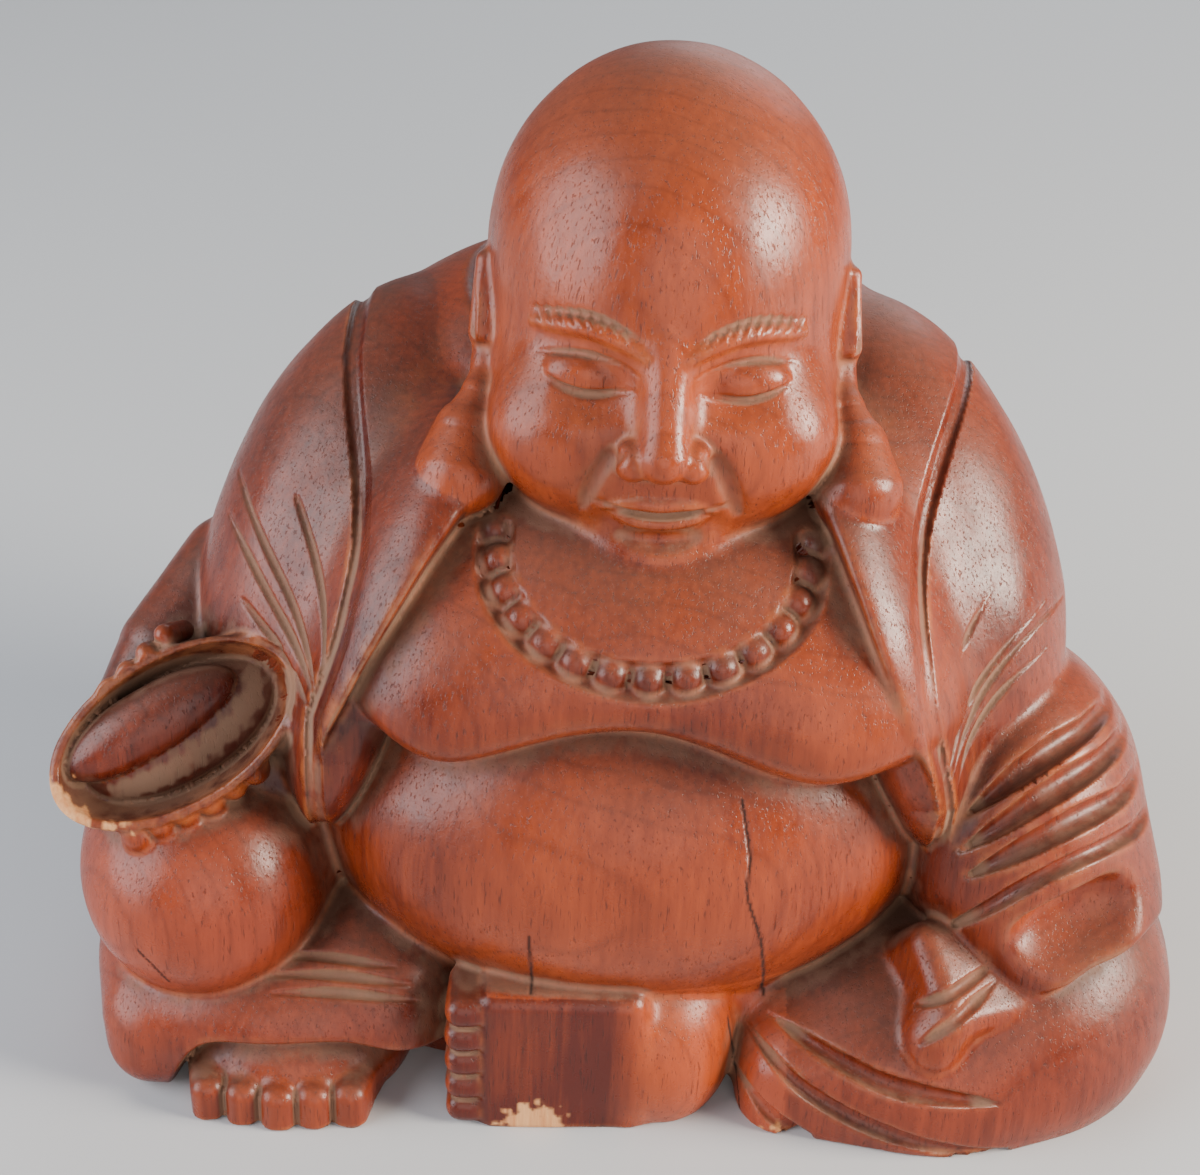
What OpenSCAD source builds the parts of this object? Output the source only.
/* [Overall] */
// Height from the flat base to the crown of the head
statue_h = 184; // [176:1:192]
// Depth of the flat base from front to back
base_d = 122; // [116:1:128]

/* [Head] */
// Width of the head at its widest
head_w = 60; // [56:1:64]
// Height of the head from chin to crown
head_h = 82; // [78:1:86]
// Width of one ear, seen from the front
ear_w = 13; // [11:1:14]

/* [Body] */
// Width of the belly
belly_w = 116; // [110:1:120]
// Height of the belly
belly_h = 80; // [76:1:82]
// Width of the chest fold that lies on the belly
chest_w = 116; // [110:1:118]
// Width across both shoulders
shoulder_w = 154; // [148:1:158]
// Diameter of one necklace bead
bead_d = 5; // [4:0.5:6]
// Number of beads in the necklace
bead_count = 15; // [11:1:17]

/* [Legs] */
// Diameter of the raised right knee
knee_d = 46; // [42:1:48]
// Width of one toe of the right foot
toe_w = 6.8; // [6:0.2:7]
// Height of one toe of the left foot, which lie one on another
toe_h = 5.8; // [5:0.2:6]

/* [Hidden] */

right = -1;
left = 1;
reach = 300;
overlap = 0.4;
toe_count = 5;
bead_swing = 180;

front_y = -base_d / 2;
lean_x = -3;
back_cut_y = -9;
seat_cut_y = -20;

head_size = [head_w - 3, head_w + 6, head_h];
head_at = [0, -8, statue_h - head_h / 2];
cranium_size = [head_w, head_w + 4, head_w + 2];
cranium_at = [0, -7, statue_h - cranium_size.z / 2];
jaw_size = [head_w - 1, head_w - 6, head_h - 32];
jaw_at = head_at + [0, -9, -16];
lobe_size = [ear_w, 14, 24];
lobe_at = [32, -28, 123];
lobe_turn = [-38, 0, 0];
flange_size = [ear_w - 4, 12, 26];
flange_at = [29.5, -14, 140];
flange_turn = [-24, -4, 0];
neck_size = [50, 48, 44];
neck_at = [0, -6, 110];

chest_size = [chest_w, 84, 52];
chest_at = [lean_x + 1, -18, 95];
chest_turn = [14, 0, 0];
bead_ring = [27, 22, 10];
bead_ring_at = [0, -17, 20];
belly_size = [belly_w, 82, belly_h];
belly_at = [lean_x, -20, belly_h / 2 + 10];

back_size = [shoulder_w - 6, 100, 146];
back_at = [lean_x, 11, 72];
sleeve_size = [52, 60, 96];
sleeve_at = [shoulder_w / 2 - 28, -4, 92];
sleeve_turn = [-25, -22, 0];
lapel_size = [26, 58, 74];
lapel_at = [42, -24, 86];
lapel_turn = [-14, -18, 0];
seat_size = [188, base_d - 14, 78];
seat_at = [0, 6, 12];

right_cuff_size = [48, 56, 44];
right_cuff_at = [-72, -12, 58];
right_cuff_turn = [10, 0, 0];
left_cuff_size = [54, 66, 64];
left_cuff_at = [69, -18, 43];
left_cuff_turn = [24, 0, 0];
boat_size = [47, 28, 30];
boat_wall = 1.8;
boat_mouth_z = 2;
ingot_at = [-81, -44, 70];
ingot_turn = [48, -27, 20];
island_size = [37, 17, 14];
island_at = [0, 3, -7];
right_hand_size = [40, 32, 14];
right_hand_at = [-79, -40, 59];
right_hand_turn = [20, -12, 0];
left_hand_size = [30, 30, 20];
left_hand_at = [60, -47, 26];
left_hand_turn = [30, 0, 30];

knee_size = [knee_d, knee_d + 4, knee_d + 2];
knee_at = [-78, -34, 38];
right_hem_size = [76, 62, 42];
right_hem_at = [-63, -28, 12];
right_foot_size = [44, 38, 24];
right_foot_at = [-62, front_y + 22, 4];
right_toe_size = [toe_w, 14, 11];
right_toes_at = [right_foot_at.x - 1, front_y + 7.5, 4];

lap_size = [92, 80, 50];
lap_at = [54, -22, 14];
thigh_size = [63, 68, 52];
thigh_at = [71, -25, 14];
left_foot_size = [56, 44, 44];
left_foot_at = [-6, front_y + 22, 11];
left_toe_size = [9, 13, toe_h + overlap];
left_toes_at = [-30, front_y + 7, toe_h / 2];

robe_brown = [0.42, 0.16, 0.09];
skin_brown = [0.60, 0.25, 0.12];
bead_brown = [0.50, 0.19, 0.10];

// An ellipsoid with the given centre and full widths, turned about its own centre
module egg(at, size, turn = [0, 0, 0], sides = 22) {
  translate(at) rotate(turn) scale(size) sphere(d = 1, $fn = sides);
}

// Keeps what lies above the flat base
module stand() {
  intersection() {
    children();
    translate([-reach, -reach, 0]) cube([2 * reach, 2 * reach, reach]);
  }
}

// Keeps what lies behind a plane across the statue
module behind(plane_y) {
  intersection() {
    children();
    translate([-reach, plane_y, 0]) cube([2 * reach, reach, reach]);
  }
}

// Joins its children into one closed skin, at the size that they have
module skin() {
  resize([0, 0, 0]) children();
}

// An ellipsoid on one side of the statue, mirrored from the left one
module paired_egg(side, at, size, turn) {
  egg([side * at.x, at.y, at.z], size, [turn.x, side * turn.y, turn.z]);
}

module head_form() {
  egg(head_at, head_size);
  egg(cranium_at, cranium_size);
  egg(jaw_at, jaw_size);
}

module ear_form(side) {
  paired_egg(side, flange_at, flange_size, flange_turn);
  paired_egg(side, lobe_at, lobe_size, lobe_turn);
}

module neck_form() {
  egg(neck_at, neck_size);
}

module chest_form() {
  egg(chest_at, chest_size, chest_turn);
}

module belly_form() {
  egg(belly_at, belly_size);
}

// Puts a child where the direction from the chest's centre meets the chest's surface
module on_chest(direction) {
  half = chest_size / 2;
  scaled = [direction.x / half.x, direction.y / half.y, direction.z / half.z];
  point = direction / norm(scaled);
  translate(chest_at) rotate(chest_turn) translate(point) children();
}

module necklace_form() {
  for (i = [0:bead_count - 1]) {
    swing = (i - (bead_count - 1) / 2) * bead_swing / bead_count;
    round_ring = [bead_ring.x * sin(swing), -bead_ring.y * cos(swing), -bead_ring.z * cos(swing)];
    on_chest(bead_ring_at + round_ring) sphere(d = bead_d, $fn = 10);
  }
}

module sleeve_form(side) {
  translate([lean_x, 0, 0]) paired_egg(side, sleeve_at, sleeve_size, sleeve_turn);
}

module lapel_form(side) {
  translate([lean_x, 0, 0]) paired_egg(side, lapel_at, lapel_size, lapel_turn);
}

module back_form() {
  egg(back_at, back_size);
}

module seat_form() {
  egg(seat_at, seat_size);
}

module right_cuff_form() {
  egg(right_cuff_at, right_cuff_size, right_cuff_turn);
}

module left_cuff_form() {
  egg(left_cuff_at, left_cuff_size, left_cuff_turn);
}

module ingot_form() {
  egg(ingot_at, boat_size, ingot_turn);
}

// The hull of the boat-shaped ingot, open at its mouth
module boat() {
  difference() {
    egg([0, 0, 0], boat_size);
    egg([0, 0, boat_mouth_z], boat_size - 2 * [boat_wall, boat_wall, boat_wall / 2]);
    translate([-reach / 2, -reach / 2, boat_mouth_z]) cube(reach);
  }
}

module knee_form() {
  egg(knee_at, knee_size);
}

module right_hand_form() {
  egg(right_hand_at, right_hand_size, right_hand_turn);
}

module left_hand_form() {
  egg(left_hand_at, left_hand_size, left_hand_turn);
}

module right_hem_form() {
  egg(right_hem_at, right_hem_size);
}

module right_foot_form() {
  egg(right_foot_at, right_foot_size);
}

module right_toes_form() {
  for (i = [0:toe_count - 1]) {
    across = (i - (toe_count - 1) / 2) * (toe_w - overlap);
    egg(right_toes_at + [across, 0, 0], right_toe_size, sides = 16);
  }
}

module left_lap_form() {
  egg(lap_at, lap_size);
  egg(thigh_at, thigh_size);
}

module left_foot_form() {
  egg(left_foot_at, left_foot_size);
}

module left_toes_form() {
  for (i = [0:toe_count - 1])
    egg(left_toes_at + [0, 0, i * toe_h], left_toe_size, sides = 16);
}

// The whole form of a named node, which its neighbours are cut by
module form(name) {
  if (name == "head") head_form();
  if (name == "ears") {
    ear_form(right);
    ear_form(left);
  }
  if (name == "neck") neck_form();
  if (name == "chest") chest_form();
  if (name == "belly") belly_form();
  if (name == "ingot") ingot_form();
  if (name == "right_hand") right_hand_form();
  if (name == "left_hand") left_hand_form();
  if (name == "raised_knee") knee_form();
  if (name == "right_cuff") right_cuff_form();
  if (name == "left_cuff") left_cuff_form();
  if (name == "right_toes") right_toes_form();
  if (name == "left_toes") left_toes_form();
  if (name == "right_foot") right_foot_form();
  if (name == "left_foot") left_foot_form();
  if (name == "right_hem") right_hem_form();
  if (name == "left_lap") left_lap_form();
  if (name == "lapels") {
    lapel_form(right);
    lapel_form(left);
  }
  if (name == "sleeves") {
    sleeve_form(right);
    sleeve_form(left);
  }
  if (name == "robe_back") back_form();
}

// Its children less the named forms, so that neighbours meet face to face
module clear_of(names) {
  skin()
    difference() {
      children();
      for (name = names) form(name);
    }
}

module head() {
  color(skin_brown) skin() head_form();
}

module ear(side) {
  color(skin_brown) clear_of(["head"]) ear_form(side);
}

module neck() {
  color(skin_brown) clear_of(["head", "ears"]) neck_form();
}

module lapel(side) {
  color(robe_brown) clear_of(["head", "ears", "neck"]) lapel_form(side);
}

module chest() {
  color(skin_brown) clear_of(["head", "ears", "neck", "lapels"]) chest_form();
}

module necklace() {
  color(bead_brown) clear_of(["chest", "lapels"]) necklace_form();
}

module belly() {
  color(skin_brown) clear_of(["chest", "neck", "lapels"]) belly_form();
}

module ingot() {
  color(robe_brown)
    skin()
      translate(ingot_at) rotate(ingot_turn) {
        boat();
        egg(island_at, island_size);
      }
}

module right_hand() {
  color(robe_brown) clear_of(["ingot", "raised_knee"]) right_hand_form();
}

module left_hand() {
  color(robe_brown) clear_of(["belly"]) left_hand_form();
}

module raised_knee() {
  color(skin_brown) clear_of(["ingot", "belly"]) knee_form();
}

module right_cuff() {
  color(robe_brown) clear_of(["ingot", "raised_knee", "belly", "right_hand", "lapels"]) right_cuff_form();
}

module left_cuff() {
  color(robe_brown) clear_of(["left_hand", "belly", "lapels"]) left_cuff_form();
}

module right_sleeve() {
  color(robe_brown)
    clear_of(["head", "neck", "ears", "lapels", "chest", "belly", "ingot", "right_cuff", "raised_knee"])
      sleeve_form(right);
}

module left_sleeve() {
  color(robe_brown)
    clear_of(["head", "neck", "ears", "lapels", "chest", "belly", "left_cuff"])
      sleeve_form(left);
}

module right_toes() {
  color(skin_brown) skin() stand() right_toes_form();
}

module right_foot() {
  color(skin_brown) clear_of(["right_toes"]) stand() right_foot_form();
}

module left_toes() {
  color(skin_brown) skin() stand() left_toes_form();
}

module left_foot() {
  color(skin_brown) clear_of(["left_toes", "belly"]) stand() left_foot_form();
}

module right_hem() {
  color(robe_brown)
    clear_of(["raised_knee", "right_toes", "right_foot", "left_toes", "left_foot", "belly", "right_cuff"])
      stand() right_hem_form();
}

module left_lap() {
  color(robe_brown) clear_of(["left_hand", "left_foot", "belly", "left_cuff"]) stand() left_lap_form();
}

module robe_back() {
  color(robe_brown)
    clear_of([
      "head", "ears", "neck", "lapels", "chest", "belly", "sleeves", "right_cuff", "left_cuff",
      "raised_knee", "right_hem", "left_lap"
    ])
      behind(back_cut_y) back_form();
}

module seat() {
  color(robe_brown)
    clear_of([
      "robe_back", "belly", "chest", "sleeves", "right_cuff", "left_cuff", "left_hand", "right_hand",
      "raised_knee", "right_hem", "left_lap", "right_foot", "right_toes", "left_foot", "left_toes"
    ])
      behind(seat_cut_y) seat_form();
}

head();
ear(right);  // right_ear
ear(left);  // left_ear
neck();
chest();
belly();
necklace();
robe_back();
lapel(right);  // right_lapel
lapel(left);  // left_lapel
right_sleeve();
left_sleeve();
right_cuff();
left_cuff();
ingot();
right_hand();
left_hand();
raised_knee();
right_hem();
right_foot();
right_toes();
left_lap();
left_foot();
left_toes();
seat();
